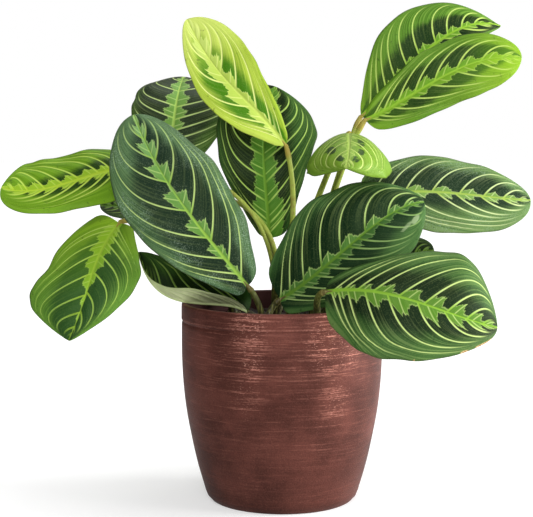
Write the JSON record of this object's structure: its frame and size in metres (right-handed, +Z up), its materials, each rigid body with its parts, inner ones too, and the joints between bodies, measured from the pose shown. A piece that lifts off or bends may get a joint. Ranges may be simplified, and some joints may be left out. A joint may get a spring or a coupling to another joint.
{
  "type": "potted prayer plant",
  "caption": "Leafy maranta with broad oval patterned leaves on thin stalks, growing from soil in a round-bellied pot with a flat base.",
  "frame": {"origin": "centre of the pot's flat base, on the surface that it stands on", "axes": "+Z up along the pot's axis, +X to the right of someone who looks at the plant's front, +Y away from them"},
  "size_m": [0.3164, 0.2038, 0.2999],
  "materials": {
    "pot": "satin",
    "soil": "matte",
    "stalk": "satin",
    "leaf_dark": "satin",
    "leaf_young": "satin"
  },
  "bodies": {
    "root": {"pot": "pot", "soil": "soil", "shoot_front": "stalk", "shoot_front_right": "stalk", "shoot_right": "stalk", "shoot_tall": "stalk", "shoot_centre": "stalk", "shoot_left": "stalk", "shoot_back_left": "stalk", "shoot_back_right": "stalk", "leaf_far_left": "leaf_young", "leaf_low_left": "leaf_young", "leaf_front_left": "leaf_dark", "leaf_upper_left": "leaf_dark", "leaf_top_young": "leaf_young", "leaf_centre": "leaf_dark", "leaf_top_right_back": "leaf_dark", "leaf_top_right_front": "leaf_young", "leaf_small_curled": "leaf_young", "leaf_right": "leaf_dark", "leaf_front_centre": "leaf_dark", "leaf_front_right": "leaf_dark", "leaf_rim_left": "leaf_dark", "leaf_left_behind": "leaf_dark", "leaf_right_behind": "leaf_dark", "leaf_back_left_low": "leaf_dark", "leaf_back_left_high": "leaf_dark", "leaf_back_right_low": "leaf_dark", "leaf_back_right_high": "leaf_dark", "leaf_back_upright": "leaf_dark", "leaf_back_centre": "leaf_dark"}
  },
  "joints": []
}
